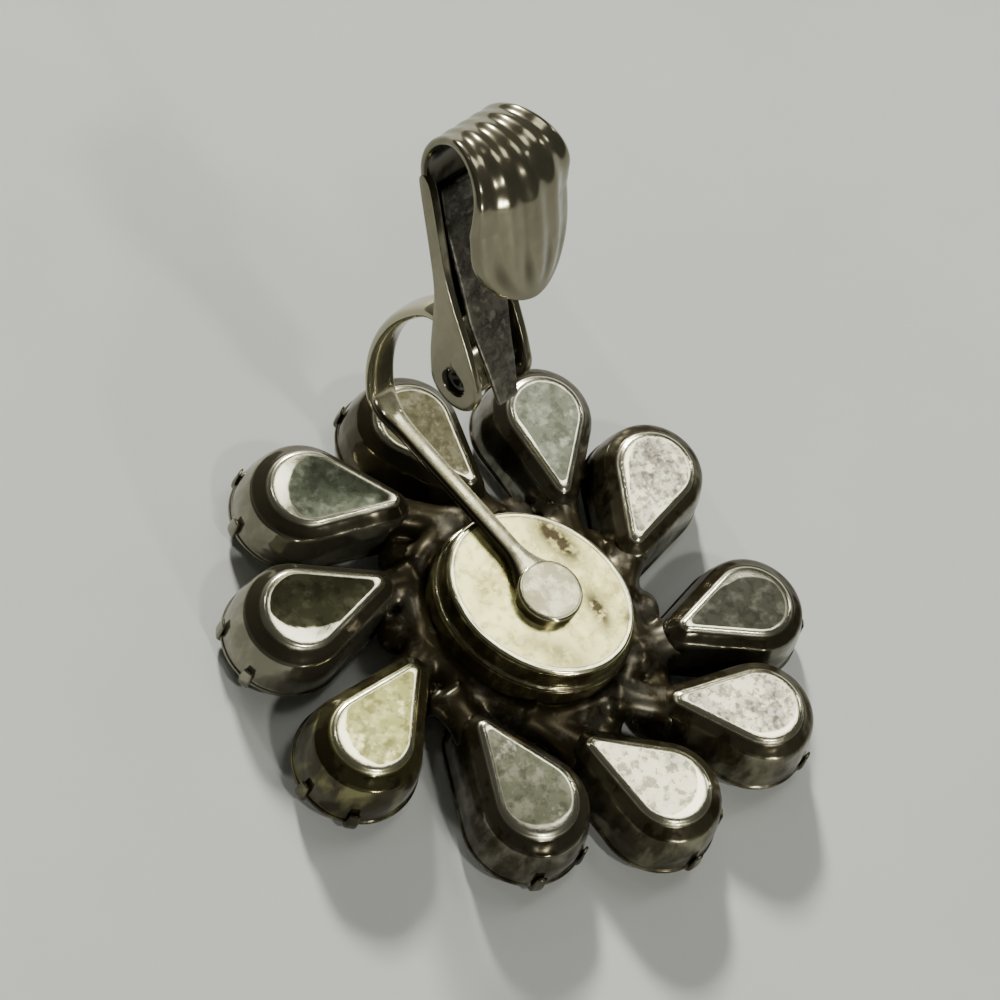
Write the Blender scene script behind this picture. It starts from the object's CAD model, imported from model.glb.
"""A clip-on earring that lies face down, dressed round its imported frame.

Ten pear-shaped cups stand in an uneven ring round a raised oval cup, with a soldered pad, an arm
and a tall hook on its back. A sprung paddle turns on the hook's knuckle and stands open.
Shapes are worked out in millimetres, in the frame's own axes, and become metres in each mesh.
"""

from __future__ import annotations

import logging
import math
from dataclasses import dataclass, replace
from enum import Enum
from typing import Sequence

import bpy
import numpy as np
from mathutils import Matrix, Vector

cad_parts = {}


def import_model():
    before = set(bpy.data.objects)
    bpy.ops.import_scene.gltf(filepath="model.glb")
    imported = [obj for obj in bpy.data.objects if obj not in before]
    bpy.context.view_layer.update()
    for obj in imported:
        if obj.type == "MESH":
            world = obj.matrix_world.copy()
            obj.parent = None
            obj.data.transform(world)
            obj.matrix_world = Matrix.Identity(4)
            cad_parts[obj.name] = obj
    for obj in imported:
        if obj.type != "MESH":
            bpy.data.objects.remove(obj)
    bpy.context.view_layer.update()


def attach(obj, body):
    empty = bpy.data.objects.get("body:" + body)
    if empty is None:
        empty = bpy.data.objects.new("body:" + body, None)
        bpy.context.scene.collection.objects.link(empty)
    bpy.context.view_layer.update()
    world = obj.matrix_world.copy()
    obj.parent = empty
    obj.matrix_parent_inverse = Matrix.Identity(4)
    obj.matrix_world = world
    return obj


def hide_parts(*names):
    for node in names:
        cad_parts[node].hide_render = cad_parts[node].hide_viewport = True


LOG = logging.getLogger("earring")
MM = 0.001
Colour = tuple[float, float, float]

# The frame's +X, which runs across the arm, the claws and the clip
ACROSS = np.array([1.0, 0.0, 0.0])

# What each point of a piece carries, as shares from 0 to 1
MASKS = ("flat", "recess", "rim", "stain")

# Turns of the small rings that round each end of a swept bar, from its tip inwards, and the
# rounding's radius as a share of the bar's smaller half size
END_TURNS = np.radians([70.0, 40.0, 15.0])
END_ROUNDING = 0.45

# Solder's lumps: rows of a sine's turn for each millimetre along x, y and z, and its start
LUMP_WAVES = np.array([[2.3, 0.7, 0.0, 1.0], [0.0, 2.1, -0.9, 2.0], [1.3, 0.0, 1.7, 0.0]])

# How many times finer than the patches the speckles and the grain are
SPECKLE_FINENESS = 2.0
GRAIN_FINENESS = 3.6

# Depth of the plate's bump where its height is 1, in millimetres
BUMP_DEPTH = 0.02


class Body(Enum):
    """The two bodies that pieces ride on."""

    FLOWER = "flower"
    CLIP = "clip"


class Slot(Enum):
    """The record's material slots."""

    SETTING = "setting_metal"
    CLIP = "clip_metal"
    LEAF = "leaf_metal"
    CRYSTAL = "crystal"


def smooth_path(points: Sequence[Sequence[float]], steps: int) -> np.ndarray:
    """Samples a rounded line through points.

    Formula: a Catmull-Rom cubic through each pair of neighbours, whose slope at a point is half
    the step from the point before it to the point after it.

    Args:
        points: the points that the line passes, in order.
        steps: samples on each stretch between two points.

    Returns:
        The samples, one row each.
    """
    p = np.asarray(points, float)
    before = np.vstack([2 * p[0] - p[1], p[:-2], p[-2]])[: len(p) - 1]
    after = np.vstack([p[2:], 2 * p[-1] - p[-2]])
    a, b = p[:-1], p[1:]
    t = np.linspace(0, 1, steps, endpoint=False)[None, :, None]
    m0 = (b - before)[:, None] / 2
    m1 = (after - a)[:, None] / 2
    h = (2 * t**3 - 3 * t**2 + 1) * a[:, None] + (t**3 - 2 * t**2 + t) * m0
    h = h + (3 * t**2 - 2 * t**3) * b[:, None] + (t**3 - t**2) * m1
    return np.vstack([h.reshape(-1, p.shape[1]), p[-1]])


def smooth_step(x: np.ndarray, start: float, end: float) -> np.ndarray:
    """Goes from 0 at start to 1 at end along 3t^2 - 2t^3, whichever of the two is larger."""
    t = np.clip((np.asarray(x, float) - start) / (end - start), 0, 1)
    return t * t * (3 - 2 * t)


def turned(points: np.ndarray, degrees: float) -> np.ndarray:
    """Turns points about +Z, anticlockwise as seen from above."""
    c, s = math.cos(math.radians(degrees)), math.sin(math.radians(degrees))
    x, y = points[..., 0], points[..., 1]
    return np.stack([c * x - s * y, s * x + c * y, points[..., 2]], axis=-1)


def laid_across(grid: np.ndarray) -> np.ndarray:
    """Lays a grid that was turned about +Z down, so that its axis becomes +X."""
    return np.stack([grid[..., 2], grid[..., 0], grid[..., 1]], axis=-1)


def in_middle_plane(line: np.ndarray) -> np.ndarray:
    """Puts points of two coordinates in the plane x = 0."""
    return np.column_stack([0 * line[:, 0], line])


def new_object(name: str, data: bpy.types.ID) -> bpy.types.Object:
    """Makes an object of that data in the scene, at the origin."""
    made = bpy.data.objects.new(name, data)
    bpy.context.scene.collection.objects.link(made)
    return made


def grid_faces(rows: int, cols: int, ring: bool) -> tuple[np.ndarray, np.ndarray]:
    """Works out the faces of a closed grid, whose columns run round.

    Formula: neighbouring points make quads. Where the rows don't close into a ring, two more
    points follow the grid's own, the middles of its first and last row, and a fan of triangles
    joins each of them to its row.

    Args:
        rows: number of rows.
        cols: number of points in a row.
        ring: the last row joins the first one.

    Returns:
        The quads and the fans' triangles, as rows of point numbers.
    """
    i = np.arange(rows if ring else rows - 1)[:, None]
    j = np.arange(cols)[None, :]
    i2, j2 = (i + 1) % rows, (j + 1) % cols
    corners = [i * cols + j, i2 * cols + j, i2 * cols + j2, i * cols + j2]
    quads = np.stack(corners, axis=-1).reshape(-1, 4)
    if ring:
        return quads, np.zeros((0, 3), int)
    k = np.arange(cols)
    k2 = (k + 1) % cols
    first, top = rows * cols, (rows - 1) * cols
    low = np.stack([np.full(cols, first), k, k2], axis=-1)
    high = np.stack([np.full(cols, first + 1), top + k2, top + k], axis=-1)
    return quads, np.vstack([low, high])


class Shell:
    """Collects closed grids of points, in millimetres, as one mesh piece."""

    def __init__(self, name: str) -> None:
        """Starts an empty piece of that name."""
        self.name = name
        self.points: list[np.ndarray] = []
        self.masks: dict[str, list[np.ndarray]] = {mask: [] for mask in MASKS}
        self.faces: list[list[int]] = []
        self.count = 0

    def add(
        self,
        grid: np.ndarray,
        ring: bool = False,
        flat: np.ndarray | float = 0.0,
        recess: np.ndarray | float = 0.0,
        rim: np.ndarray | float = 0.0,
        stain: np.ndarray | float = 0.0,
    ) -> None:
        """Adds one closed grid, whose columns run round and whose rows run from end to end.

        Formula: the sum of the triple products of the faces' corners gives the volume, and
        where it is negative the faces are turned round.

        Args:
            grid: points as rows by columns by 3.
            ring: the last row joins the first one.
            flat: share of flat-back patina at each point.
            recess: share of dark tarnish at each point.
            rim: share of bright wear at each point.
            stain: share of brown stain at each point.
        """
        rows, cols = grid.shape[:2]
        points = grid.reshape(-1, 3)
        given = (np.asarray(mask, float) for mask in (flat, recess, rim, stain))
        masks = [np.broadcast_to(mask, (rows, cols)).ravel() for mask in given]
        if not ring:
            points = np.vstack([points, grid[0].mean(0), grid[-1].mean(0)])
            masks = [np.append(m, [m[:cols].mean(), m[-cols:].mean()]) for m in masks]
        quads, fans = grid_faces(rows, cols, ring)
        tris = np.vstack([quads[:, [0, 1, 2]], quads[:, [0, 2, 3]], fans])
        a, b, c = (points[tris[:, n]] for n in range(3))
        if np.einsum("ij,ij->", a, np.cross(b, c)) < 0:
            quads, fans = quads[:, ::-1], fans[:, ::-1]
        self.faces += (quads + self.count).tolist() + (fans + self.count).tolist()
        self.points.append(points)
        for name, mask in zip(MASKS, masks):
            self.masks[name].append(mask)
        self.count += len(points)

    def build(self, material: bpy.types.Material, sharp: float = 50.0) -> bpy.types.Object:
        """Makes the mesh object in metres.

        Args:
            material: the finish of the whole piece.
            sharp: edges that turn by more degrees than this stay crisp.

        Returns:
            The new object, at the origin.
        """
        mesh = bpy.data.meshes.new(self.name)
        points = np.vstack(self.points) * MM
        mesh.from_pydata(points.tolist(), [], self.faces)
        mesh.polygons.foreach_set("use_smooth", np.ones(len(mesh.polygons), bool))
        for name, parts in self.masks.items():
            values = np.concatenate(parts).astype(np.float32)
            mesh.attributes.new(name, "FLOAT", "POINT").data.foreach_set("value", values)
        mesh.set_sharp_from_angle(angle=math.radians(sharp))
        mesh.materials.append(material)
        mesh.validate()
        return new_object(self.name, mesh)


def dress(piece: bpy.types.Object, body: Body, slot: Slot, *nodes: str) -> None:
    """Lets a piece ride on a body and stand for nodes of the frame.

    Args:
        piece: the finished object.
        body: the body that it moves with.
        slot: the record's slot that its finish belongs to.
        nodes: names of the nodes that it stands for.
    """
    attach(piece, body.value)
    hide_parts(*nodes)
    LOG.info("%s rides on %s with %d faces", piece.name, body.value, len(piece.data.polygons))


def sweep(
    path: np.ndarray,
    half_w: np.ndarray | float,
    half_t: np.ndarray | float,
    power: float = 4.0,
    cols: int = 32,
) -> np.ndarray:
    """Carries a rounded section along a path that has its width along +X.

    Formula: the section is a superellipse, |x/w|^p + |y/t|^p = 1, with x across and y square to
    it and to the path. Small rings at each end, which shrink along a quarter circle, round it.

    Args:
        path: points of the middle line, one row each.
        half_w: half width at each point.
        half_t: half thickness at each point.
        power: roundness of the section; 2 is an ellipse and 8 almost a rectangle.
        cols: points round the section.

    Returns:
        A grid of points.
    """
    tangent = np.gradient(path, axis=0)
    tangent /= np.linalg.norm(tangent, axis=1)[:, None]
    side = ACROSS - (tangent @ ACROSS)[:, None] * tangent
    side /= np.linalg.norm(side, axis=1)[:, None]
    up = np.cross(side, tangent)
    half_w = np.broadcast_to(np.asarray(half_w, float), len(path))
    half_t = np.broadcast_to(np.asarray(half_t, float), len(path))
    turn = np.linspace(0, 2 * math.pi, cols, endpoint=False)
    c, s = np.cos(turn), np.sin(turn)
    x = np.sign(c) * np.abs(c) ** (2 / power)
    y = np.sign(s) * np.abs(s) ** (2 / power)

    def end_rings(index: int, sign: float) -> np.ndarray:
        """The rings that round one end, from its tip inwards."""
        round_r = END_ROUNDING * min(half_t[index], half_w[index])
        base = path[index] + sign * tangent[index] * (round_r * (np.sin(END_TURNS) - 1))[:, None]
        cut = round_r * (1 - np.cos(END_TURNS))
        w = (half_w[index] - cut)[:, None, None] * x[None, :, None] * side[index]
        t = (half_t[index] - cut)[:, None, None] * y[None, :, None] * up[index]
        return base[:, None] + w + t

    body = path[:, None] + (half_w[:, None] * x)[..., None] * side[:, None]
    body = body + (half_t[:, None] * y)[..., None] * up[:, None]
    return np.concatenate([end_rings(0, -1.0), body[1:-1], end_rings(-1, 1.0)[::-1]])


def lathe(profile: np.ndarray, cols: int = 64) -> np.ndarray:
    """Turns a profile of radius and height about +Z.

    Formula: x = r cos(a), y = r sin(a), z = h, for each profile point and each angle a.

    Args:
        profile: rows of radius and height.
        cols: points round the axis.

    Returns:
        A grid of points.
    """
    a = np.linspace(0, 2 * math.pi, cols, endpoint=False)
    r, h = profile[:, :1], profile[:, 1:]
    return np.stack([r * np.cos(a), r * np.sin(a), h + 0 * a], axis=-1)


def melt(piece: bpy.types.Object, voxel: float, passes: int, lump: float) -> None:
    """Melts the overlapping shells of a piece into one lumpy skin, as solder flows.

    Formula: a voxel remesh makes one skin of them, a few passes move each point towards the
    middle of its neighbours, and each point then moves along its normal by the product of three
    sines of its place.

    Args:
        piece: the piece, which keeps its material.
        voxel: size of the remesh's cells.
        passes: number of smoothing passes.
        lump: height of the lumps.
    """
    remesh = piece.modifiers.new("one_skin", "REMESH")
    remesh.mode, remesh.voxel_size, remesh.use_smooth_shade = "VOXEL", voxel * MM, True
    flow = piece.modifiers.new("flow", "SMOOTH")
    flow.factor, flow.iterations = 0.5, passes
    graph = bpy.context.evaluated_depsgraph_get()
    mesh = bpy.data.meshes.new_from_object(piece.evaluated_get(graph), depsgraph=graph)
    piece.modifiers.clear()
    material = piece.data.materials[0]
    piece.data = mesh
    points = np.empty(len(mesh.vertices) * 3)
    mesh.vertices.foreach_get("co", points)
    normals = np.empty(len(mesh.vertices) * 3, np.float32)
    mesh.vertex_normals.foreach_get("vector", normals)
    points, normals = points.reshape(-1, 3) / MM, normals.reshape(-1, 3)
    wave = np.sin(points @ LUMP_WAVES[:, :3].T + LUMP_WAVES[:, 3]).prod(axis=1)
    points = points + normals * (lump * wave)[:, None]
    mesh.vertices.foreach_set("co", (points * MM).ravel())
    mesh.polygons.foreach_set("use_smooth", np.ones(len(mesh.polygons), bool))
    mesh.materials.clear()
    mesh.materials.append(material)
    mesh.update()


class Graph:
    """Adds shader nodes to a tree and links them in one call each."""

    def __init__(self, tree: bpy.types.NodeTree) -> None:
        """Starts with that tree."""
        self.tree = tree

    @classmethod
    def of(cls, owner: bpy.types.Material | bpy.types.World) -> Graph:
        """Empties the tree of a material or world and starts with it."""
        owner.use_nodes = True
        owner.node_tree.nodes.clear()
        return cls(owner.node_tree)

    def add(self, kind: str, inputs: dict | None = None, **settings: object) -> bpy.types.Node:
        """Adds a node.

        Args:
            kind: the node's type.
            inputs: sockets or values by input name or number.
            settings: properties of the node.

        Returns:
            The node.
        """
        node = self.tree.nodes.new(kind)
        for key, value in settings.items():
            setattr(node, key, value)
        for key, value in (inputs or {}).items():
            if isinstance(value, bpy.types.NodeSocket):
                self.tree.links.new(value, node.inputs[key])
            else:
                node.inputs[key].default_value = value
        return node

    def maths(self, operation: str, *values: object, clamp: bool = False) -> bpy.types.NodeSocket:
        """Adds a Math node on up to three values and returns its result."""
        inputs = dict(enumerate(values))
        return self.add("ShaderNodeMath", inputs, operation=operation, use_clamp=clamp).outputs[0]

    def ramp(self, value: object, start: float, end: float) -> bpy.types.NodeSocket:
        """Adds a smooth step from 0 at start to 1 at end and returns its result."""
        inputs = {"Value": value, "From Min": start, "From Max": end}
        return self.add("ShaderNodeMapRange", inputs, interpolation_type="SMOOTHSTEP").outputs[0]

    def mix(self, factor: object, a: object, b: object, blend: str = "MIX") -> bpy.types.NodeSocket:
        """Mixes two colours and returns the result."""
        inputs = {0: factor, 6: a, 7: b}
        return self.add("ShaderNodeMix", inputs, data_type="RGBA", blend_type=blend).outputs[2]

    def noise(self, place: object, scale: object, detail: float, rough: float) -> bpy.types.NodeSocket:
        """Adds a noise of that many bumps to the metre and returns its value."""
        inputs = {"Vector": place, "Scale": scale, "Detail": detail, "Roughness": rough}
        return self.add("ShaderNodeTexNoise", inputs).outputs[0]

    def place(self) -> bpy.types.NodeSocket:
        """Reads the point's place on the piece, in metres."""
        return self.add("ShaderNodeTexCoord").outputs["Object"]

    def mask(self, name: str) -> bpy.types.NodeSocket:
        """Reads one of the masks that the piece's points carry."""
        return self.add("ShaderNodeAttribute", attribute_name=name).outputs["Fac"]

    def surface(self, inputs: dict[str, object]) -> None:
        """Adds the material's shader with those inputs and links it to the output."""
        shader = self.add("ShaderNodeBsdfPrincipled", inputs)
        self.add("ShaderNodeOutputMaterial", {"Surface": shader.outputs[0]})


def new_group(name: str, inputs: dict[str, object], outputs: dict[str, str]) -> bpy.types.NodeTree:
    """Makes an empty shader group.

    Args:
        name: the group's name.
        inputs: default values by socket name; a tuple of four is a colour, and None a vector.
        outputs: socket types by name.

    Returns:
        The group's tree.
    """
    tree = bpy.data.node_groups.new(name, "ShaderNodeTree")
    for key, value in inputs.items():
        kind = "NodeSocketVector" if value is None else "NodeSocketFloat"
        kind = "NodeSocketColor" if isinstance(value, tuple) else kind
        socket = tree.interface.new_socket(key, in_out="INPUT", socket_type=kind)
        if value is not None:
            socket.default_value = value
    for key, kind in outputs.items():
        tree.interface.new_socket(key, in_out="OUTPUT", socket_type=kind)
    return tree


def mottle_group() -> bpy.types.NodeTree:
    """Builds the patches, speckles and grain that old plate grows.

    Formula: the patches are a coarse noise that is pushed to 0 and 1 about 0.75 less half the
    spread. The speckles are a finer noise, pushed apart about its middle, and the grain is a
    noise finer still.

    Returns:
        The group, with its patches, speckles and grain as outputs.
    """
    outputs = {name: "NodeSocketFloat" for name in ("patches", "speckles", "grain")}
    tree = new_group("mottle", {"place": None, "size": 450.0, "spread": 0.5}, outputs)
    g = Graph(tree)
    start = g.add("NodeGroupInput").outputs
    place, size = start["place"], start["size"]
    coarse = g.noise(place, size, 6.0, 0.68)
    push = g.maths("MULTIPLY_ADD", start["spread"], 0.5, -0.25)
    fine = g.noise(place, g.maths("MULTIPLY", size, SPECKLE_FINENESS), 6.0, 0.62)
    found = {
        "patches": g.ramp(g.maths("ADD", coarse, push), 0.42, 0.58),
        "speckles": g.ramp(fine, 0.47, 0.64),
        "grain": g.noise(place, g.maths("MULTIPLY", size, GRAIN_FINENESS), 5.0, 0.6),
    }
    g.add("NodeGroupOutput", found)
    return tree


@dataclass(frozen=True)
class PlateFinish:
    """Worn silver-coloured plate with its own patina."""

    bare: Colour = (0.82, 0.80, 0.67)
    patina: Colour = (0.26, 0.28, 0.21)
    bloom: Colour = (0.5, 0.5, 0.44)
    film: Colour = (0.040, 0.032, 0.015)
    patch_size: float = 450.0
    spread: float = 0.5
    film_share: float = 0.95
    flecks: float = 0.55
    wobble: float = 14.0
    polish: float = 0.13
    dullness: float = 0.36
    bump: float = 0.6
    offset: float = 0.0

    def sockets(self) -> dict[str, object]:
        """The colours and amounts, by the names of the shared group's inputs."""
        given = {name: value for name, value in vars(self).items() if name not in ("bump", "offset")}
        return {name: (*v, 1.0) if isinstance(v, tuple) else v for name, v in given.items()}

    def material(self, name: str, aged: bpy.types.NodeTree) -> bpy.types.Material:
        """Builds the material.

        Args:
            name: the material's name.
            aged: the shared group of worn plate.

        Returns:
            The new material.
        """
        made = bpy.data.materials.new(name)
        g = Graph.of(made)
        shift = (self.offset * MM, self.offset * 0.7 * MM, 0.0)
        moved = g.add("ShaderNodeMapping", {"Vector": g.place(), "Location": shift}).outputs[0]
        masks = {mask: g.mask(mask) for mask in MASKS}
        inputs = {"place": moved, **masks, **self.sockets()}
        plate = g.add("ShaderNodeGroup", inputs, node_tree=aged).outputs
        bump = {"Height": plate["height"], "Strength": self.bump, "Distance": BUMP_DEPTH * MM}
        surface = {
            "Base Color": plate["colour"],
            "Roughness": plate["roughness"],
            "Metallic": plate["metal"],
            "Normal": g.add("ShaderNodeBump", bump).outputs[0],
        }
        g.surface(surface)
        return made


class AgedPlate:
    """Builds the shared group of worn silver-coloured plate.

    Formula: on the flat backs the bare colour turns to the patina in the patches and to the
    bloom in the speckles, and the grain's low places are darker pits. On the walls a brown film
    lies in upright streaks, and it covers all of the recesses. Rubbed rims are the bare colour
    mixed with a pale straw, and stains have the film's brown, broken up by the grain.
    """

    pit_tint: tuple[float, ...] = (0.36, 0.34, 0.34, 1.0)
    rub_tint: tuple[float, ...] = (1.0, 0.98, 0.74, 1.0)
    rub_share: float = 0.7
    rub_roughness: float = 0.2

    def __init__(self, mottle: bpy.types.NodeTree) -> None:
        """Makes the group.

        Args:
            mottle: the group that makes patches, speckles and grain.
        """
        masks = {mask: 0.0 for mask in MASKS}
        outputs = {"colour": "NodeSocketColor", "roughness": "NodeSocketFloat"}
        outputs |= {"metal": "NodeSocketFloat", "height": "NodeSocketFloat"}
        inputs = {"place": None, **masks, **PlateFinish().sockets()}
        self.tree = new_group("aged_plate", inputs, outputs)
        self.graph = Graph(self.tree)
        self.start = self.graph.add("NodeGroupInput").outputs
        names = (("place", "place"), ("size", "patch_size"), ("spread", "spread"))
        spots = {key: self.start[source] for key, source in names}
        self.spots = self.graph.add("ShaderNodeGroup", spots, node_tree=mottle).outputs
        self.worn = self.graph.maths("MULTIPLY", self.spots["patches"], self.start["flat"])
        self.film = self.wall_film()
        self.rub = self.rubbed()
        rough, metal = self.gloss()
        found = {"colour": self.colour(), "roughness": rough, "metal": metal, "height": self.height()}
        self.graph.add("NodeGroupOutput", found)

    def wall_film(self) -> bpy.types.NodeSocket:
        """Masks the film: upright streaks on what isn't flat, and all of the recesses."""
        g, start = self.graph, self.start
        squash = {"Vector": start["place"], "Scale": (1.0, 1.0, 0.35)}
        upright = g.add("ShaderNodeMapping", squash).outputs[0]
        streak = g.ramp(g.noise(upright, 500.0, 6.0, 0.65), 0.36, 0.58)
        share = g.maths("MULTIPLY_ADD", streak, 0.18, 0.88)
        walls = g.maths("SUBTRACT", 1.0, start["flat"], clamp=True)
        film = g.maths("MULTIPLY", g.maths("MULTIPLY", share, start["film_share"]), walls)
        return g.maths("MAXIMUM", film, start["recess"], clamp=True)

    def rubbed(self) -> bpy.types.NodeSocket:
        """Masks the wear along rims, with an edge that the grain breaks up."""
        g = self.graph
        lifted = g.maths("SUBTRACT", self.start["rim"], 0.45)
        return g.ramp(g.maths("MULTIPLY_ADD", self.spots["grain"], 0.9, lifted), 0.15, 0.75)

    def colour(self) -> bpy.types.NodeSocket:
        """Lays the patina, bloom, pits, film, wear and stains over the bare colour in turn."""
        g, start, grain = self.graph, self.start, self.spots["grain"]
        colour = g.mix(self.worn, start["bare"], start["patina"])
        flecks = g.maths("MULTIPLY", start["flecks"], start["flat"])
        colour = g.mix(g.maths("MULTIPLY", self.spots["speckles"], flecks), colour, start["bloom"])
        pits = g.maths("MULTIPLY", g.ramp(grain, 0.53, 0.38), flecks)
        colour = g.mix(pits, colour, g.mix(1.0, colour, self.pit_tint, "MULTIPLY"))
        colour = g.mix(self.film, colour, start["film"])
        colour = g.mix(self.rub, colour, g.mix(self.rub_share, start["bare"], self.rub_tint))
        broken = g.maths("MULTIPLY_ADD", g.ramp(grain, 0.36, 0.52), 0.85, 0.15)
        return g.mix(g.maths("MULTIPLY", start["stain"], broken, clamp=True), colour, start["film"])

    def gloss(self) -> tuple[bpy.types.NodeSocket, bpy.types.NodeSocket]:
        """Works out the roughness and the share of metal.

        Formula: patches, flats and film dull the plate from its polish towards its dullness,
        and wear gives it its own roughness. Film and flats are less of a metal, unless rubbed.

        Returns:
            The roughness and the share of metal.
        """
        g, start = self.graph, self.start
        span = g.maths("SUBTRACT", start["dullness"], start["polish"])
        dull = g.maths("MULTIPLY_ADD", self.worn, 0.65, g.maths("MULTIPLY", start["flat"], 0.35))
        dull = g.maths("MAXIMUM", dull, g.maths("MULTIPLY", self.film, 0.12))
        rough = g.maths("MULTIPLY_ADD", span, dull, start["polish"])
        smoother = g.maths("SUBTRACT", self.rub_roughness, rough)
        rough = g.maths("MULTIPLY_ADD", smoother, self.rub, rough)
        coated = g.maths("MULTIPLY_ADD", self.film, 0.3, g.maths("MULTIPLY", start["flat"], 0.25))
        coated = g.maths("SUBTRACT", coated, self.rub, clamp=True)
        return rough, g.maths("SUBTRACT", 1.0, coated)

    def height(self) -> bpy.types.NodeSocket:
        """Adds the grain, most of it on the flats, to the wobble, most of it on the walls."""
        g, start = self.graph, self.start
        wobble = g.noise(start["place"], 420.0, 2.0, 0.5)
        swing = g.maths("MULTIPLY", start["wobble"], g.maths("MULTIPLY_ADD", start["flat"], -0.8, 1.0))
        share = g.maths("MULTIPLY_ADD", start["flat"], 0.8, 0.2)
        return g.maths("MULTIPLY_ADD", wobble, swing, g.maths("MULTIPLY", self.spots["grain"], share))


@dataclass(frozen=True)
class CrystalFinish:
    """Cut crystal with a soft gloss and faint clouds."""

    tint: Colour = (0.95, 0.97, 1.0)
    cloud: Colour = (0.86, 0.9, 0.92)
    bend: float = 1.6
    softness: float = 0.5
    cloud_softness: float = 0.06

    def material(self, name: str) -> bpy.types.Material:
        """Builds the material: clouds take its colour and roughness a little further."""
        made = bpy.data.materials.new(name)
        g = Graph.of(made)
        haze = g.ramp(g.noise(g.place(), 900.0, 3.0, 0.6), 0.45, 0.8)
        surface = {
            "Base Color": g.mix(haze, (*self.tint, 1.0), (*self.cloud, 1.0)),
            "Roughness": g.maths("MULTIPLY_ADD", haze, self.cloud_softness, self.softness),
            "IOR": self.bend,
            "Transmission Weight": 1.0,
            "Metallic": 0.0,
        }
        g.surface(surface)
        return made


GREY_GREEN = PlateFinish(
    patina=(0.22, 0.24, 0.175), bloom=(0.55, 0.57, 0.45), spread=0.8, dullness=0.42
)
GREY_OLIVE = PlateFinish(
    patina=(0.17, 0.18, 0.12), bloom=(0.42, 0.42, 0.31), spread=0.8, dullness=0.42
)
OLIVE = PlateFinish(
    bare=(0.42, 0.39, 0.26), patina=(0.13, 0.12, 0.065), bloom=(0.33, 0.31, 0.22), spread=0.75,
    film_share=0.9
)
WHITE = PlateFinish(
    bare=(0.98, 0.94, 0.66), patina=(0.33, 0.295, 0.26), bloom=(1.0, 0.98, 0.76), patch_size=700,
    flecks=0.9, polish=0.22, bump=1.0
)
LILAC = PlateFinish(
    bare=(0.96, 0.93, 0.63), patina=(0.25, 0.225, 0.25), bloom=(1.0, 0.98, 0.74), patch_size=500,
    spread=0.42, flecks=0.9, polish=0.22, bump=0.9
)
DARK = PlateFinish(
    bare=(0.5, 0.5, 0.4), patina=(0.07, 0.073, 0.052), bloom=(0.22, 0.22, 0.17), spread=1.0
)
MOSS = PlateFinish(
    bare=(0.9, 0.88, 0.68), patina=(0.045, 0.047, 0.022), bloom=(0.13, 0.13, 0.075), spread=1.0,
    film_share=0.78
)
MOSS_GREEN = replace(MOSS, patina=(0.085, 0.10, 0.066), bloom=(0.3, 0.33, 0.25))
STRAW = PlateFinish(
    bare=(0.92, 0.9, 0.42), patina=(0.52, 0.52, 0.18), bloom=(0.95, 0.94, 0.4), spread=0.7, flecks=0.7
)
OVAL_PLATE = PlateFinish(
    bare=(1.0, 0.95, 0.4), patina=(0.80, 0.73, 0.28), bloom=(1.0, 0.98, 0.46),
    film=(0.05, 0.038, 0.017), spread=0.45, polish=0.18, dullness=0.28, offset=5
)
BAR_PLATE = PlateFinish(
    film=(0.042, 0.033, 0.015), film_share=1.0, wobble=5, polish=0.3, dullness=0.5, offset=9
)
ARM_PLATE = PlateFinish(
    bare=(0.92, 0.88, 0.6), patina=(0.72, 0.67, 0.4), bloom=(1.0, 0.97, 0.68),
    film=(0.035, 0.027, 0.016), film_share=0.35, wobble=5, polish=0.12, offset=13
)
PADDLE_PLATE = PlateFinish(
    bare=(0.41, 0.385, 0.27), film=(0.032, 0.027, 0.015), film_share=0.55, wobble=9, polish=0.17,
    offset=19
)
LEAF_STEEL = PlateFinish(
    bare=(0.12, 0.113, 0.09), patina=(0.035, 0.032, 0.024), bloom=(0.25, 0.24, 0.2), patch_size=700,
    flecks=0.6, polish=0.3, dullness=0.5
)
PIN_STEEL = PlateFinish(film=(0.03, 0.026, 0.02), polish=0.22, dullness=0.5)


@dataclass(frozen=True)
class Petal:
    """One pear cup: where it stands, how its back leans and is dished, and its finish.

    The offset moves the patina's pattern. The worn side is the way, in degrees clockwise from
    the round end as seen from the back, in which a crescent of bare metal reaches furthest in
    from the flat's edge.
    """

    bearing: float
    reach: float
    twist: float
    lean_side: float
    lean_out: float
    dish: float
    finish: PlateFinish
    offset: float
    worn_side: float = 0.0
    worn_reach: float = 0.0


PETALS = (
    Petal(9, 15.7, -11, 1.0, -1.5, 0.06, OLIVE, 3),
    Petal(45, 15.5, -15, 0.9, 2.6, 0.0, GREY_GREEN, 7, 250, 0.16),
    Petal(77, 15.3, -19, 1.5, 2.3, 0.02, WHITE, 11, 270, 0.22),
    Petal(121, 16.3, -15, 4.5, -2.5, 0.04, DARK, 17, -70, 0.26),
    Petal(148.5, 17, -15, 1.6, 4.0, 0.02, WHITE, 23, 60, 0.2),
    Petal(181, 15.2, -21, 1.2, 3.6, 0.02, LILAC, 29, 0, 0.26),
    Petal(216, 13.7, -31, -2.5, -1.0, -0.03, GREY_OLIVE, 31, 20, 0.18),
    Petal(266, 15.2, -14.5, 0.7, 2.4, 0.02, STRAW, 37, 30, 0.26),
    Petal(302, 15.8, -17, 6.8, 0.3, 0.15, MOSS, 41, -60, 0.42),
    Petal(334, 16.7, -19, 1.5, -4.0, 0.24, MOSS_GREEN, 43, 0, 0.34),
)


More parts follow.
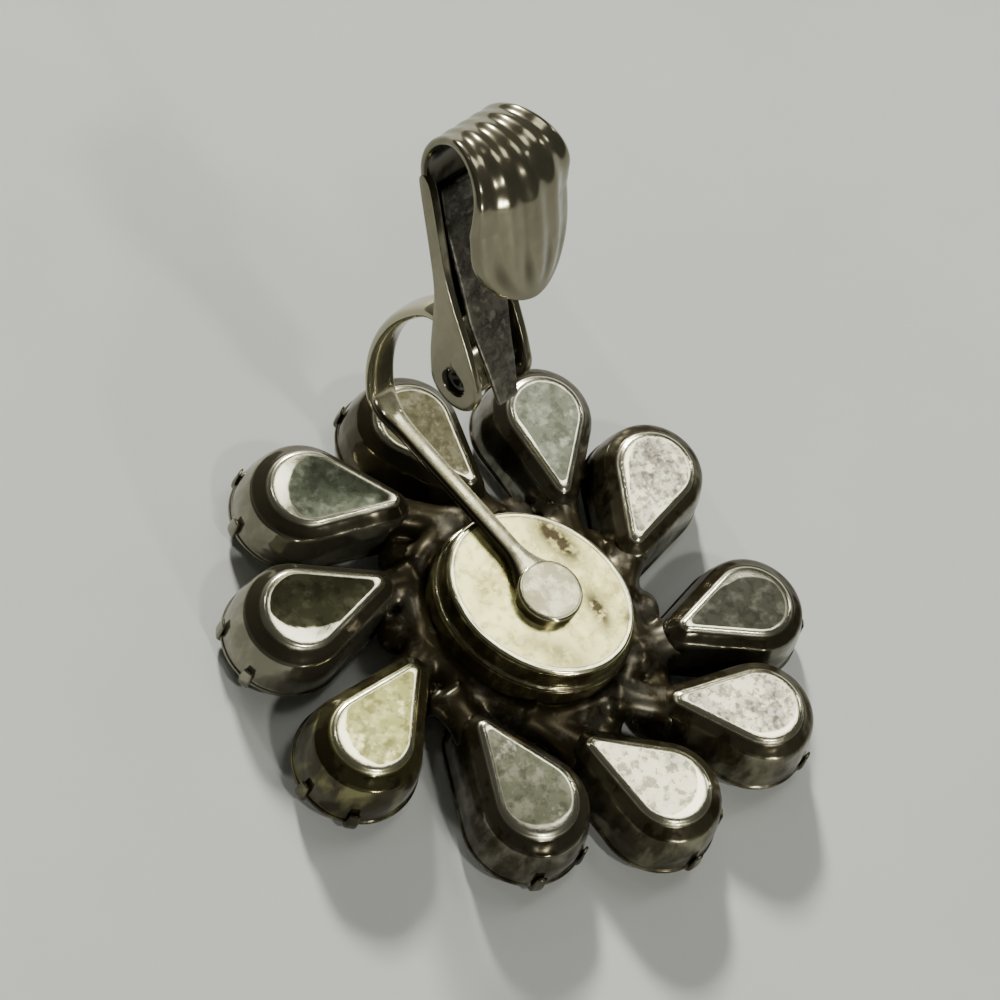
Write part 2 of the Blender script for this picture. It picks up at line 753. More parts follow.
@dataclass(frozen=True)
class Stain:
    """A brown stain on the oval plate: its middle, half sizes, turn in degrees and depth."""

    x: float
    y: float
    along: float
    across: float
    turn: float
    depth: float

    def mask(self, points: np.ndarray) -> np.ndarray:
        """Depth times exp(-(u/along)^2 - (v/across)^2), with u and v in the stain's own axes."""
        q = turned(points - np.array([self.x, self.y, 0.0]), -self.turn)
        return self.depth * np.exp(-((q[..., 0] / self.along) ** 2) - (q[..., 1] / self.across) ** 2)


STAINS = (
    Stain(3.1, 1.9, 2.2, 0.8, 97.0, 1.3),
    Stain(2.0, -2.8, 1.6, 0.6, 78.0, 1.2),
    Stain(3.1, -4.2, 0.5, 0.4, 0.0, 0.9),
    Stain(-1.7, -3.8, 2.2, 0.9, -62.0, 0.7),
)


@dataclass(frozen=True)
class PearCup:
    """A stamped pear-shaped cup with a flat back, a double bevel and a lipped rim.

    Its own axes have the middle of the flat's round end at 0 and the tip towards -Y.
    """

    flat_r: float = 2.25
    flat_back: float = 5.15
    flat_mid: float = -0.7
    lean_mid: float = -1.2
    flare: float = 1.5
    rim_mid: float = 0.3
    rim_tip: float = -6.65
    flat_tip_r: float = 0.3
    rim_tip_r: float = 1.5
    rim_z: float = 0.9
    flat_z: float = 4.7
    wall: float = 0.45
    inner_share: float = 0.4

    def outline(self, share: np.ndarray, inset: np.ndarray) -> np.ndarray:
        """Works out the pear outline for each row.

        Formula: an arc about the round end's middle, a straight side, a small arc about the
        tip's middle and the other side. Both arcs end where the straight sides touch them, at
        asin((R - r) / d) past square, with R and r their radii and d the way between them.

        Args:
            share: how far each row has flared, from 0 at the flat back to 1 at the rim.
            inset: how far each row lies inside that outline.

        Returns:
            Points as rows by columns by 2.
        """
        share, inset = share[:, None], inset[:, None]
        round_r = self.flat_r + self.flare * share - inset
        round_y = self.rim_mid * share
        full_tip = self.flat_tip_r + (self.rim_tip_r - self.flat_tip_r) * share
        tip_y = -self.flat_back + (self.rim_tip + self.flat_back) * share + full_tip
        tip_r = np.maximum(full_tip - inset, 0.1)
        lean = np.arcsin((round_r - tip_r) / (round_y - tip_y))
        a = -lean + np.linspace(0, 1, 48) * (math.pi + 2 * lean)
        b = math.pi + lean + np.linspace(0, 1, 12) * (math.pi - 2 * lean)
        big = np.stack([round_r * np.cos(a), round_y + round_r * np.sin(a)], axis=-1)
        small = np.stack([tip_r * np.cos(b), tip_y + tip_r * np.sin(b)], axis=-1)
        t = np.linspace(0, 1, 14)[1:-1][None, :, None]
        down = big[:, -1:] * (1 - t) + small[:, :1] * t
        up = small[:, -1:] * (1 - t) + big[:, :1] * t
        return np.concatenate([big, down, small, up], axis=1)

    def profile(self) -> np.ndarray:
        """Works out the section, from the hollow's top down, round the lip and up to the back.

        Returns:
            Rows of flare share, inset, height and shrink.
        """
        inner = [(0.4, 4.2, 0.0), (0.4, 4.22, 0.6), (0.45, 4.1, 1.0), (0.72, 3.1, 1.0)]
        inner += [(0.93, 1.4, 1.0), (0.98, 1.0, 1.0)]
        outer = [(1.0, 0.28, 0.9), (1.0, 0.08, 0.91), (1.0, 0.0, 1.0), (1.0, 0.0, 1.16)]
        outer += [(1.0, 0.05, 1.24), (0.97, 0.07, 1.32), (0.93, 0.05, 1.7), (0.86, 0.0, 2.4)]
        outer += [(0.76, 0.0, 3.1), (0.65, 0.0, 3.7)]
        bevel = [(0.60, 3.88), (0.54, 3.99), (0.44, 4.11), (0.28, 4.28), (0.18, 4.4), (0.1, 4.52)]
        bevel += [(0.03, 4.61)]
        back = [(0.05, 0.985), (0.025, 0.95), (0.01, 0.9), (0.003, 0.82), (0.0, 0.7), (0.0, 0.5)]
        back += [(0.0, 0.3), (0.0, 0.08)]
        rows = [(share, self.wall, height, shrink) for share, height, shrink in inner]
        rows += [(share, inset, height, 1.0) for share, inset, height in outer]
        rows += [(share, 0.0, height, 1.0) for share, height in bevel]
        rows += [(0.0, 0.0, self.flat_z - drop, shrink) for drop, shrink in back]
        return smooth_path(rows, 3)

    def grid(self, petal: Petal) -> tuple[np.ndarray, dict[str, np.ndarray]]:
        """Works out the cup's closed surface with its masks.

        Formula: each row is the pear outline of its flare share, shrunk towards the middle of
        the flat, at its height. The back leans by a slope, and is dished by the square of the
        way from its middle. Both grow with the height's square, so that the rim stays level.

        Args:
            petal: the place and lean of this cup.

        Returns:
            The points in the cup's own axes, and the flat, recess and rim masks by name.
        """
        share, inset, height, shrink = self.profile().T
        middle = np.array([0.0, self.flat_mid])
        off = (self.outline(share.clip(0, 1), inset) - middle) * shrink[:, None, None]
        rings = middle + off
        outside = np.arange(len(share)) > len(share) * self.inner_share
        on_flat = smooth_step(share, 0.2, 0.05) * outside
        inward = np.where(on_flat > 0, shrink, 1.0)
        rise = ((height - self.rim_z) / (self.flat_z - self.rim_z)).clip(0, 1) ** 2
        slope = np.tan(np.radians([petal.lean_side, petal.lean_out]))
        lean = rings[..., 0] * slope[0] + (rings[..., 1] - self.lean_mid) * slope[1]
        dish = petal.dish * (inward**2 - 0.5) * smooth_step(share, 0.6, 0.0)
        z = height[:, None] + rise[:, None] * (lean + dish[:, None])
        edge = (smooth_step(share, 0.14, 0.04) * outside)[:, None]
        line = edge * smooth_step(inward, 0.86, 0.93)[:, None]
        worn = edge * on_flat[:, None] * self.crescent(petal, inward, off)
        masks = {
            "flat": on_flat[:, None],
            "recess": self.grime(share, height, outside, rings[..., 1]),
            "rim": np.maximum(line, 0.9 * worn),
        }
        return np.dstack([rings, z]), masks

    def crescent(self, petal: Petal, inward: np.ndarray, off: np.ndarray) -> np.ndarray:
        """Masks the crescent of bare metal on the flat's worn side.

        Formula: it reaches in from the flat's edge by the worn reach times the power 1.5 of the
        cosine between the worn side and the way to the point.

        Args:
            petal: the cup's worn side and reach.
            inward: each row's share of the way from the flat's middle to its edge.
            off: each point's place from the flat's middle.

        Returns:
            The mask, as rows by columns.
        """
        if not petal.worn_reach:
            return np.zeros(off.shape[:2])
        way = math.radians(petal.worn_side)
        length = np.maximum(np.linalg.norm(off, axis=-1), 0.01)
        ahead = off @ np.array([math.sin(way), math.cos(way)]) / length
        bound = 1 - petal.worn_reach * ahead.clip(0, 1) ** 1.5
        return smooth_step(inward[:, None] - bound, -0.06, 0.04) * (ahead > 0.05)

    def grime(
        self, share: np.ndarray, height: np.ndarray, outside: np.ndarray, y: np.ndarray
    ) -> np.ndarray:
        """Masks the tarnish on the wall by the tip, at its foot and on the bevel.

        Args:
            share: each row's flare share.
            height: each row's height.
            outside: which rows lie on the outside.
            y: each point's place along the cup.

        Returns:
            The mask, as rows by columns.
        """
        tip = smooth_step(y, -1.0, -6.0) * smooth_step(height, 4.5, 2.6)[:, None]
        foot = smooth_step(height, 2.4, 1.6)[:, None]
        bevel = smooth_step(share, 0.06, 0.16) * smooth_step(share, 0.64, 0.52) * outside
        return np.maximum(0.9 * tip + 0.25 * foot, 0.95 * bevel[:, None]).clip(0, 1)

    def place(self, points: np.ndarray, petal: Petal) -> np.ndarray:
        """Moves points from the cup's own axes to its place in the ring."""
        bearing = math.radians(petal.bearing)
        shifted = points - np.array([0.0, self.flat_r, 0.0])
        end = np.array([petal.reach * math.sin(bearing), petal.reach * math.cos(bearing), 0.0])
        return turned(shifted, -(petal.bearing + petal.twist)) + end


@dataclass(frozen=True)
class Claw:
    """A claw that stands against a rim and bends over the stone."""

    width: float = 0.75
    thick: float = 0.36

    def grid(self) -> np.ndarray:
        """Works out the claw, which points outwards along +Y and has the rim's edge at y = 0.

        Formula: a rounded section runs down the wall and in over the stone's edge. It grows
        from its upper end and thins towards its tip.

        Returns:
            A grid of points in the claw's own axes.
        """
        path = [(0.0, 2.15), (0.02, 1.6), (0.03, 1.0), (-0.04, 0.68), (-0.35, 0.54), (-0.8, 0.5)]
        line = in_middle_plane(smooth_path(path, 4))
        along = np.linspace(0, 1, len(line))
        wide = (1 - 0.25 * smooth_step(along, 0.7, 1.0)) * (0.8 + 0.2 * smooth_step(along, 0, 0.3))
        thick = (1 - 0.45 * smooth_step(along, 0.6, 1.0)) * (0.5 + 0.5 * smooth_step(along, 0, 0.4))
        return sweep(line, self.width / 2 * wide, self.thick / 2 * thick, 3.4, 20)


@dataclass(frozen=True)
class Flower:
    """The soldered ring of cups, the oval cup, the bar round it and the necks."""

    cup: PearCup = PearCup()
    claw: Claw = Claw()
    claw_turns: tuple[float, ...] = (26.0, -26.0)
    oval_a: float = 6.4
    oval_b: float = 5.45
    oval_turn: float = 19.0
    oval_most: float = 5.4
    oval_claws: tuple[int, ...] = (30, 90, 150, 210, 270, 330)
    ledge_z: float = 5.15
    plate_z: float = 6.7
    bar_r: float = 0.9
    bar_z: float = 2.9
    bar_out: float = 0.45
    neck_sink: float = 1.7
    neck_rise: float = 0.1
    neck_most: float = 5.0
    neck_least: float = 1.5
    solder_balls: tuple[float, ...] = (1.3, 1.3, 1.45, 1.4, 1.4, 1.2, 1.1, 1.3, 1.4, 1.3)

    def build_cups(self, aged: bpy.types.NodeTree) -> None:
        """Makes each pear cup with its three claws."""
        rim = np.array([0, self.cup.flat_r + self.cup.flare, 0])
        middle = np.array([0, self.cup.rim_mid, 0])
        for number, petal in enumerate(PETALS, 1):
            shell = Shell(f"pear_cup_{number:02d}")
            points, masks = self.cup.grid(petal)
            shell.add(self.cup.place(points, petal), **masks)
            for turn in self.claw_turns:
                claw = turned(self.claw.grid() + rim, turn) + middle
                shell.add(self.cup.place(claw, petal))
            tip = turned(self.claw.grid(), 180) + np.array([0, self.cup.rim_tip, 0])
            shell.add(self.cup.place(tip, petal), recess=0.6)
            finish = replace(petal.finish, offset=petal.offset)
            piece = shell.build(finish.material(f"cup_plate_{number:02d}", aged))
            dress(piece, Body.FLOWER, Slot.SETTING, "setting")

    def oval(self, inset: np.ndarray, cols: int = 128) -> np.ndarray:
        """Ovals whose half axes are shorter by inset, as rows by columns by 2."""
        a = np.linspace(0, 2 * math.pi, cols, endpoint=False)
        inset = inset[:, None]
        return np.stack([(self.oval_b - inset) * np.cos(a), (self.oval_a - inset) * np.sin(a)], axis=-1)

    def oval_profile(self) -> np.ndarray:
        """Works out the oval cup's section: down inside, round the rim, up outside and in.

        Returns:
            Rows of inset and height.
        """
        rows = [(5.9, 6.2), (1.3, 6.22), (0.9, 6.0), (0.6, 4.9), (0.45, 1.1), (0.25, 0.9), (0.06, 0.92)]
        rows += [(0.0, 1.05), (0.0, 1.3), (0.06, 1.45), (0.1, 3.0), (0.13, 4.75), (0.17, 4.95)]
        rows += [(0.27, 5.1), (0.38, self.ledge_z), (0.46, 5.25), (0.49, 5.6), (0.52, 6.2)]
        rows += [(0.56, 6.42), (0.65, 6.56), (0.78, 6.65), (0.95, 6.69)]
        rows += [(inset, self.plate_z) for inset in (1.15, 1.6, 2.6, 4.0, 5.3)]
        return smooth_path(rows, 4)

    def build_oval_cup(self, aged: bpy.types.NodeTree) -> None:
        """Makes the raised oval cup with its six claws.

        Formula: each row of the section is an oval with its inset and height. A claw points
        along the oval's normal, whose slope is that of (cos(t) a, sin(t) b).

        Args:
            aged: the shared group of worn plate.
        """
        inset, height = self.oval_profile().T
        rings = self.oval(np.minimum(inset, self.oval_most))
        level = np.broadcast_to(height[:, None], rings.shape[:2])
        plate = turned(np.dstack([rings, level]), self.oval_turn)
        outside = np.arange(len(inset)) > len(inset) * 0.5
        flat = (smooth_step(inset, 0.7, 0.95) * outside)[:, None]
        recess = (0.95 * smooth_step(height, 6.45, 6.0) * outside)[:, None]
        edge = smooth_step(height, 6.5, 6.6) * smooth_step(inset, 1.1, 0.9)
        ledge = 0.35 * smooth_step(np.abs(height - self.ledge_z), 0.08, 0.02)
        rim = (np.maximum(edge, ledge) * outside)[:, None]
        stain = np.max([spot.mask(plate) for spot in STAINS], axis=0) * flat
        shell = Shell("oval_cup")
        shell.add(plate, flat=flat, recess=recess, rim=rim, stain=stain)
        for t in np.radians(self.oval_claws):
            way = math.degrees(math.atan2(math.sin(t) * self.oval_b, math.cos(t) * self.oval_a)) - 90
            place = np.array([self.oval_b * math.cos(t), self.oval_a * math.sin(t), 0])
            shell.add(turned(turned(self.claw.grid(), way) + place, self.oval_turn))
        piece = shell.build(OVAL_PLATE.material("oval_plate", aged))
        dress(piece, Body.FLOWER, Slot.SETTING, "setting")

    def bar_ring(self) -> np.ndarray:
        """Works out the bar bent round the oval, before it melts.

        Formula: its middle line is an oval, its section a circle that stands across the line,
        and its radius swells by two sines of the bearing.

        Returns:
            A grid of points that closes into a ring.
        """
        a, b = self.oval_a + self.bar_out, self.oval_b + self.bar_out
        t = np.linspace(0, 2 * math.pi, 160, endpoint=False)[:, None]
        k = np.linspace(0, 2 * math.pi, 20, endpoint=False)
        out = np.hstack([a * np.cos(t), b * np.sin(t)])
        out /= np.linalg.norm(out, axis=1)[:, None]
        swell = self.bar_r * (1.0 + 0.06 * np.sin(5 * t + 1) + 0.05 * np.sin(11 * t))
        r = swell * np.cos(k)
        x = b * np.cos(t) + r * out[:, :1]
        y = a * np.sin(t) + r * out[:, 1:]
        z = self.bar_z + swell * np.sin(k)
        return turned(np.stack([x, y, z], axis=-1), self.oval_turn)

    def neck(self, petal: Petal) -> tuple[np.ndarray, np.ndarray]:
        """Works out the thick neck from a cup's tip to the bar, before it melts.

        Formula: an ellipse in section, least at the neck's middle, that grows with the square
        of the way to either end.

        Args:
            petal: the cup.

        Returns:
            A grid of points, and the place under the neck's middle.
        """
        s = np.linspace(0, 1, 25)[:, None]
        start = np.array([0.0, self.cup.rim_tip + self.neck_sink, self.bar_z])
        way = np.array([0.0, -self.neck_reach(petal) - self.neck_sink, self.neck_rise])
        line = start + s * way
        grow = (2 * s[:, 0] - 1) ** 2
        grid = sweep(line, 1.15 + 0.35 * grow, 0.9 + 0.25 * grow, 2.0, 24)
        under = start + 0.5 * way + np.array([0.0, 0.4, -0.9])
        return self.cup.place(grid, petal), self.cup.place(under, petal)

    def neck_reach(self, petal: Petal) -> float:
        """Way from a cup's tip, along its axis, to the middle line of the bar round the oval."""
        steps = np.linspace(0, self.neck_most, 101)
        tip = np.stack([0 * steps, self.cup.rim_tip - steps, 0 * steps], axis=-1)
        q = turned(self.cup.place(tip, petal), -self.oval_turn)
        half = np.array([self.oval_b, self.oval_a]) + self.bar_out
        inside = np.flatnonzero(((q[:, :2] / half) ** 2).sum(axis=1) <= 1)
        return float(steps[inside[0]]) if len(inside) else self.neck_least

    def build_bar(self, aged: bpy.types.NodeTree) -> None:
        """Makes the bar and the necks, with balls of solder between the necks, as one skin."""
        shell = Shell("joining_bar")
        shell.add(self.bar_ring(), ring=True)
        unders = []
        for petal in PETALS:
            neck, under = self.neck(petal)
            shell.add(neck)
            unders.append(under)
        angle = np.linspace(-math.pi / 2, math.pi / 2, 14)[1:-1]
        half = np.column_stack([np.cos(angle), 0.8 * np.sin(angle)])
        for here, there, size in zip(unders, unders[1:] + unders[:1], self.solder_balls):
            shell.add(lathe(size * half, 20) + (here + there) / 2)
        piece = shell.build(BAR_PLATE.material("bar_plate", aged))
        melt(piece, voxel=0.16, passes=34, lump=0.035)
        dress(piece, Body.FLOWER, Slot.SETTING, "setting")


@dataclass(frozen=True)
class Stones:
    """The cut crystals, each with a table, a crown of kites and a pavilion."""

    flower: Flower = Flower()
    cup: PearCup = PearCup(rim_tip_r=1.1)
    rim_share: float = 0.93
    gap: float = 0.1
    pear_mid: float = -0.5
    pear_keel: float = 3.8
    pear_sides: int = 12
    oval_keel: float = 5.35
    oval_sides: int = 16
    table_share: float = 0.56
    crown: float = 1.1
    girdle: float = 0.18

    def facets(self, outline: np.ndarray, mid_y: float, keel: float, sides: int) -> np.ndarray:
        """Works out a faceted stone.

        Formula: the outline is cut into twice as many even stretches as there are sides. The
        table keeps every second corner, the crown's middle ring the others, and the girdle all
        of them; corners that a ring leaves out lie halfway between their neighbours.

        Args:
            outline: the girdle's outline, as points by 2.
            mid_y: place along +Y of the point that the rings shrink towards.
            keel: height of the keel above the table.
            sides: number of the crown's kites.

        Returns:
            A grid of points.
        """
        steps = np.linspace(0, len(outline), 2 * sides, endpoint=False).astype(int)
        ring = outline[steps]
        middle = np.array([0.0, mid_y])

        def cut(share: float, keep: int) -> np.ndarray:
            """A ring of that share whose left-out corners lie on straight edges."""
            points = middle + (ring - middle) * share
            other = (np.roll(points, 1, axis=0) + np.roll(points, -1, axis=0)) / 2
            odd = np.arange(2 * sides) % 2 == keep
            return np.where(odd[:, None], other, points)

        levels = [
            (cut(self.table_share, 1), 0.0),
            (cut(0.8, 0), self.crown * 0.52),
            (ring, self.crown),
            (ring, self.crown + self.girdle),
            (cut(0.62, 1), self.crown + self.girdle + (keel - self.crown) * 0.5),
            (middle + (ring - middle) * 0.12, keel),
        ]
        return np.stack([np.column_stack([p, np.full(len(p), z)]) for p, z in levels])

    def build(self, material: bpy.types.Material) -> None:
        """Makes each pear stone and the oval one, with every edge between facets crisp."""
        inset = np.array([self.cup.wall + self.gap])
        outline = self.cup.outline(np.array([self.rim_share]), inset)[0]
        pear = self.facets(outline, self.pear_mid, self.pear_keel, self.pear_sides)
        for number, petal in enumerate(PETALS, 1):
            shell = Shell(f"petal_crystal_{number:02d}")
            shell.add(self.cup.place(pear, petal))
            piece = shell.build(material, sharp=1.0)
            dress(piece, Body.FLOWER, Slot.CRYSTAL, f"petal_stone_{number:02d}")
        oval = self.facets(self.flower.oval(inset, 96)[0], 0.0, self.oval_keel, self.oval_sides)
        shell = Shell("centre_crystal")
        shell.add(turned(oval, self.flower.oval_turn))
        dress(shell.build(material, sharp=1.0), Body.FLOWER, Slot.CRYSTAL, "centre_stone")


@dataclass(frozen=True)
class Fitting:
    """The soldered pad, the arm, the tall hook and the knuckle."""

    pad_r: float = 1.95
    pad_y: float = -0.4
    plate_z: float = 6.7
    arm_w: float = 1.2
    arm_points: int = 40
    hook_w: float = 2.0
    strip_t: float = 0.85
    start_y: float = 12.9
    arcs: tuple[tuple[float, float, float], ...] = ((2.4, 0, 65), (10, 65, 122), (2.3, 122, 222))
    hinge_y: float = 10.1
    hinge_z: float = 18.1
    knuckle_r: float = 1.25
    knuckle_out: float = 0.35
    knuckle_edge: float = 0.1
    bore_r: float = 0.84
    bore_edge: float = 0.08

    def centre_line(self) -> np.ndarray:
        """The middle line of the arm and hook: a straight arm, then arcs end to end.

        Formula: along an arc of radius R the heading h grows evenly, and the place moves by
        R (sin h - sin h0) along +Y and R (cos h0 - cos h) along +Z.

        Returns:
            Points of the line, one row each.
        """
        z = self.plate_z + 0.15 + self.strip_t / 2
        y = np.linspace(0.6, self.start_y, self.arm_points)
        parts = [np.column_stack([y, z - 0.16 * (1 - smooth_step(y, 0.8, 3.4))])]
        for radius, low, high in self.arcs:
            h = np.radians(np.linspace(low, high, 26)[1:])
            h0 = math.radians(low)
            step = radius * np.column_stack([np.sin(h) - math.sin(h0), math.cos(h0) - np.cos(h)])
            parts.append(parts[-1][-1] + step)
        return in_middle_plane(np.vstack(parts))

    def add_pad(self, shell: Shell) -> None:
        """Adds the round pad, turned from rows of radius and height."""
        rows = [(0.05, 6.6), (1.7, 6.6), (1.93, 6.62), (self.pad_r, 6.7), (self.pad_r, 7.35), (1.9, 7.5)]
        rows += [(1.78, 7.58), (1.6, 7.6), (0.9, 7.6), (0.05, 7.6)]
        grid = lathe(smooth_path(rows, 4)) + np.array([0.0, self.pad_y, 0.0])
        z = grid[..., 2]
        shell.add(grid, flat=smooth_step(z, 7.56, 7.59), recess=smooth_step(z, 7.5, 7.3), stain=0.35)

    def add_arm(self, shell: Shell) -> None:
        """Adds the arm and the hook as one bar.

        Formula: the width grows from the arm's to the hook's with the way along the line, and
        near the pad by a fillet, the square of what is left of its length. Tarnish covers all
        but the arm's upper side, and most of the hook.

        Args:
            shell: the piece that they belong to.
        """
        line = self.centre_line()
        steps = np.linalg.norm(np.diff(line, axis=0), axis=1)
        along = np.concatenate([[0], np.cumsum(steps)])
        fillet = 1.7 * (1 - ((line[:, 1] - 1.0) / 2.2).clip(0, 1)) ** 2
        fillet = np.where(np.arange(len(line)) < self.arm_points, fillet, 0.0)
        grown = (self.hook_w - self.arm_w) * smooth_step(along, 11.2, 14.8)
        bar = sweep(line, (self.arm_w + grown + fillet) / 2, self.strip_t / 2, 2.5, 40)
        turn = np.linspace(0, 2 * math.pi, bar.shape[1], endpoint=False)[None, :]
        top = smooth_step(0.4 * np.cos(turn) + 0.9 * np.sin(turn), 0.35, 0.75)
        first_row = len(END_TURNS) - 1
        row_along = np.interp(np.arange(len(bar)), np.arange(len(along)) + first_row, along)
        bent = smooth_step(row_along, 13.0, 15.5)[:, None]
        recess = (1 - bent) * (1 - top) + bent * (0.6 + 0.25 * top)
        shell.add(bar, flat=top * (1 - bent), recess=recess)

    def add_knuckle(self, shell: Shell) -> None:
        """Adds the bored knuckle, turned from rows of radius and place across."""
        half = self.hook_w / 2 + self.knuckle_out
        end = [(self.bore_r, half - self.knuckle_edge), (self.bore_r + self.bore_edge, half)]
        end += [(self.knuckle_r - self.knuckle_edge, half), (self.knuckle_r, half - self.knuckle_edge)]
        tube = np.array([(r, -h) for r, h in end] + end[::-1])
        knuckle = laid_across(lathe(tube, 72)) + np.array([0.0, self.hinge_y, self.hinge_z])
        shell.add(knuckle, ring=True, recess=0.3)

    def build(self, aged: bpy.types.NodeTree) -> None:
        """Makes the pad, the arm with the hook, and the knuckle as one piece."""
        shell = Shell("pad_arm_and_hook")
        self.add_pad(shell)
        self.add_arm(shell)
        self.add_knuckle(shell)
        piece = shell.build(ARM_PLATE.material("arm_plate", aged), sharp=40.0)
        dress(piece, Body.FLOWER, Slot.SETTING, "setting")


@dataclass(frozen=True)
class Clip:
    """The sprung paddle: ears, channel, curl and fluted pad, with its leaf and pin.

    Its own axes are u across, d along from the hinge, and n towards the inside of the clip.
    """

    hinge: tuple[float, float, float] = (0.0, 10.1, 18.1)
    open_angle: float = 58.0
    channel_w: float = 4.4
    sheet_t: float = 0.5
    length: float = 16.3
    curl_r: float = 3.2
    pad_w: float = 6.9
    pad_back: float = 6.4
    pad_mid: float = 1.42
    pad_bow: float = 0.9
    pad_dome: float = 1.35
    strip_start: float = 3.8
    flutes: int = 4
    flute_depth: float = 0.05
    ear_r: float = 1.8
    edge_r: float = 0.14
    bore_r: float = 0.84
    pin_r: float = 0.8
    pin_in: float = 0.15

    def place(self, points: np.ndarray) -> np.ndarray:
        """Moves points from the paddle's own axes to the open paddle's place."""
        a = math.radians(self.open_angle)
        u, d, n = points[..., 0], points[..., 1], points[..., 2]
        y = d * math.cos(a) - n * math.sin(a)
        z = d * math.sin(a) + n * math.cos(a)
        return np.stack([u, y, z], axis=-1) + np.array(self.hinge)

    def strip_steps(self) -> np.ndarray:
        """Places along the strip, even up to the pad's widest and then closer towards the tip."""
        channel = np.linspace(-1, 0, 14)[:-1] * (self.length - self.curl_r - self.strip_start)
        tip = 2 - (2 - self.pad_mid) * (1 - np.sin(np.linspace(0, math.pi / 2, 26)[1:]))
        return np.concatenate([channel, np.linspace(0, self.pad_mid, 78), tip])

    def strip_line(self, s: np.ndarray) -> tuple[np.ndarray, np.ndarray]:
        """The strip's middle line and its outward direction.

        Formula: straight along the channel while s is below 0, half a turn of the curl's circle
        for s from 0 to 1, and a gentle bow that grows with (s - 1)^2, back to the tip at s = 2.

        Args:
            s: places along the strip.

        Returns:
            Places and outward directions, as rows of d and n.
        """
        mid = np.array([self.length - self.curl_r, self.curl_r - 0.3])
        r = self.curl_r - self.sheet_t / 2
        turn = np.clip(s, 0, 1) * math.pi
        place = mid + r * np.column_stack([np.sin(turn), -np.cos(turn)])
        back = np.clip(s - 1, 0, None)
        straight = np.clip(s, None, 0) - back * self.pad_back
        place = place + np.column_stack([straight, -self.pad_bow * back**2])
        slope = 2 * self.pad_bow * back / self.pad_back
        normal = np.column_stack([np.sin(turn) - slope, -np.cos(turn)])
        return place, normal / np.linalg.norm(normal, axis=1)[:, None]

    def half_width(self, s: np.ndarray) -> np.ndarray:
        """Half width of the strip: the channel's, then the pad's, closing as an oval at the tip."""
        low = self.channel_w / 2 - 0.03
        grown = low + (self.pad_w / 2 - low) * smooth_step(s, 0.35, 1.0)
        close = 1 - ((s - self.pad_mid) / (2 - self.pad_mid)).clip(0, 1) ** 2
        return grown * np.sqrt(np.maximum(close, 0.0004))

    def strip_grid(self) -> tuple[np.ndarray, np.ndarray]:
        """The curl and pad as one bent sheet with rounded edges.

        Formula: across, the outer skin runs one way and the inner skin back, joined by half
        circles. The skin falls by the square of the way from the middle, which domes the pad,
        and a cosine of that way raises the flutes, which fade out towards the channel and tip.

        Returns:
            A grid of points in the paddle's own axes, and a mask of tarnish: most of the inner
            skin, and on the outer skin the valleys between the flutes and the tip.
        """
        s = self.strip_steps()
        place, normal = self.strip_line(s)
        half = self.half_width(s)
        t = self.sheet_t / 2
        flatways = np.linspace(-1, 1, 41)
        bend = np.linspace(-math.pi / 2, math.pi / 2, 8)[1:-1]
        across = np.concatenate([flatways, 0 * bend + 1, flatways[::-1], 0 * bend - 1])
        side = np.concatenate([0 * flatways + 1, -np.sin(bend), 0 * flatways - 1, np.sin(bend)])
        extra = np.concatenate([0 * flatways, np.cos(bend), 0 * flatways, -np.cos(bend)])
        round_t = np.minimum(t, half)[:, None]
        u = np.maximum(half - t, 0.0)[:, None] * across + round_t * extra
        share = u / (self.pad_w / 2)
        drop = np.clip((s - 0.5) / 0.7, 0, 1)[:, None] * self.pad_dome * share**2
        swell = 1 + 0.5 * smooth_step(s, 0.7, 1.05)
        fade = (smooth_step(s, 0.1, 0.4) * swell * smooth_step(s, 1.95, 1.6))[:, None]
        wave = np.cos(across * math.pi * self.flutes)
        off = side * round_t - drop + self.flute_depth * fade * wave
        d = place[:, :1] + normal[:, :1] * off
        n = place[:, 1:] + normal[:, 1:] * off
        inner = smooth_step(side, 0.3, -0.7)
        valleys = 0.6 * (0.5 - 0.5 * wave) * (fade / 1.5)
        grime = (valleys + 0.65 * smooth_step(s, 1.35, 2.0)[:, None]).clip(0, 0.9)
        return np.stack([u, d, n], axis=-1), np.maximum(0.97 * inner, grime * (1 - inner))

    def side_outline(self) -> np.ndarray:
        """Outline of a channel side seen along the hinge axis, as points by 2 of d and n."""
        low = [(0.0, -self.ear_r), (1.6, -1.56), (3.3, -1.12), (5.0, -0.66), (6.6, -0.4), (9.0, -0.34)]
        low += [(12.6, -0.34), (13.2, -0.22), (13.35, 0.02)]
        high = [(13.1, 0.25), (12.4, 0.45), (9.5, 0.55), (7.2, 0.62), (5.6, 0.82), (4.0, 1.16)]
        high += [(3.0, 1.38), (1.5, 1.66), (0.0, self.ear_r)]
        a = np.radians(np.linspace(90, 270, 40)[1:-1])
        ear = self.ear_r * np.column_stack([np.cos(a), np.sin(a)])
        return np.vstack([smooth_path(low + high, 6), ear])

